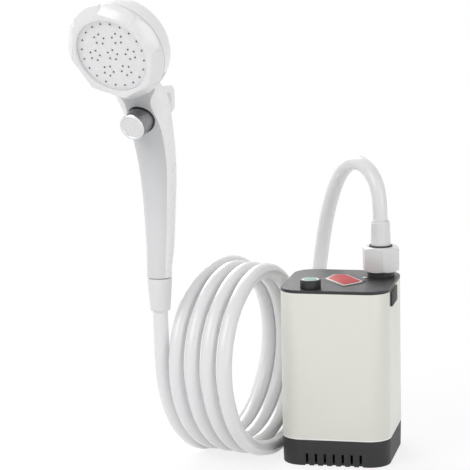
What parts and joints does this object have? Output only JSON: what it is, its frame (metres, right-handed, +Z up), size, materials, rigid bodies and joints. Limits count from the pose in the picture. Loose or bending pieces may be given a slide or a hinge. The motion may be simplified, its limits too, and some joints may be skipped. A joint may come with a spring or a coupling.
{
  "type": "portable shower",
  "caption": "Battery-powered camping shower: a submersible pump in a square case, a coiled white hose and a hand shower with a push-button stop valve.",
  "frame": {"origin": "centre of the flat underside of the pump case, on the surface it stands on", "axes": "+Z up; -Y is the front of the case, the side whose base shows the slots; +X is the side with the charging port"},
  "size_m": [0.2005, 0.2189, 0.3284],
  "materials": {
    "black_base": "matt, moulded",
    "black_lid": "satin",
    "shell_white": "satin",
    "trim": "gloss",
    "green_cap": "satin",
    "lens": "gloss",
    "rubber_black": "matt",
    "fitting_white": "satin",
    "fitting_grey": "gloss",
    "hose": "gloss, flexible vinyl",
    "handle_grey": "gloss",
    "handle_white": "gloss",
    "ring_white": "gloss",
    "plate_grey": "satin",
    "bright": "polished",
    "dark_trim": "gloss",
    "inner_plastic": "moulded",
    "inner_black": "moulded",
    "brass": "machined",
    "steel": "plain",
    "cell_wrap": "shrink sleeve",
    "board": "solder mask",
    "seal": "soft",
    "tube": "soft silicone"
  },
  "bodies": {
    "case": {"base_strainer": "black_base", "bulkhead": "inner_plastic", "bulkhead_seal": "seal", "pump_housing": "inner_plastic", "motor": "steel", "shaft_seal": "seal", "battery_holder": "inner_plastic", "battery_cells": "cell_wrap", "circuit_board": "board", "charge_socket": "steel", "switch_body": "inner_black", "case_sleeve": "shell_white", "lid": "black_lid", "lid_gasket": "seal", "case_screws": "steel", "button_collar": "black_lid", "button_trim": "trim", "button_seal": "seal", "lamp_lens": "lens", "outlet_spigot": "inner_plastic", "spigot_seal": "seal", "spigot_locknut": "inner_plastic", "outlet_tube": "tube", "hose_washer": "seal", "hose_insert": "brass", "hose_ferrule": "fitting_white", "hose_riser": "hose", "hose_coil": "hose", "hose_lead": "hose", "cone_insert": "brass", "cone_washer": "seal"},
    "rotor": {"impeller": "inner_plastic", "motor_shaft": "steel"},
    "power_button": {"power_button": "green_cap", "switch_plunger": "inner_black"},
    "port_cover": {"port_cover": "rubber_black"},
    "hose_nut": {"hose_nut": "fitting_white"},
    "handset": {"handset_front_cover": "handle_grey", "handset_rear_shell": "handle_white", "handle_spigot": "inner_plastic", "flow_tube_lower": "inner_plastic", "flow_tube_upper": "inner_plastic", "valve_body": "inner_plastic", "valve_spring": "steel", "stop_bezel": "dark_trim", "spray_chamber": "inner_plastic", "face_gasket": "seal", "spray_plate": "plate_grey"},
    "cone_nut": {"cone_nut": "fitting_grey"},
    "face_ring": {"face_ring": "ring_white"},
    "stop_button": {"stop_button": "bright", "valve_rod": "steel", "valve_seal": "seal"}
  },
  "joints": [
    {"name": "rotor_spin", "type": "hinge", "parent": "case", "child": "rotor", "pos_m": [0, 0, 0.0125], "axis": [0, 0, 1], "continuous": true},
    {"name": "power_press", "type": "slide", "parent": "case", "child": "power_button", "axis": [0, 0, -1], "range_m": [0, 0.0012], "stiffness_N_per_m": 1500},
    {"name": "port_flap", "type": "hinge", "parent": "case", "child": "port_cover", "pos_m": [0.03875, -0.0112, 0.1207], "axis": [0, -1, 0], "range_deg": [0, 90], "stiffness_Nm_per_rad": 0.002},
    {"name": "hose_nut_turn", "type": "hinge", "parent": "case", "child": "hose_nut", "pos_m": [0.025, 0.0208, 0.1358], "axis": [0, 0, 1], "continuous": true},
    {"name": "handset_swivel", "type": "hinge", "parent": "case", "child": "handset", "pos_m": [-0.11535, -0.05683, 0.13505], "axis": [0, 0, 1], "continuous": true},
    {"name": "cone_nut_turn", "type": "hinge", "parent": "handset", "child": "cone_nut", "pos_m": [-0.11535, -0.05683, 0.1231], "axis": [0, 0, 1], "continuous": true},
    {"name": "face_ring_turn", "type": "hinge", "parent": "handset", "child": "face_ring", "pos_m": [-0.12849, -0.10952, 0.2911], "axis": [-0.2227, -0.8932, -0.3907], "continuous": true},
    {"name": "stop_press", "type": "slide", "parent": "handset", "child": "stop_button", "axis": [0.2292, 0.9191, 0.3206], "range_m": [0, 0.0025], "stiffness_N_per_m": 1200, "deforming": ["valve_spring"]}
  ]
}
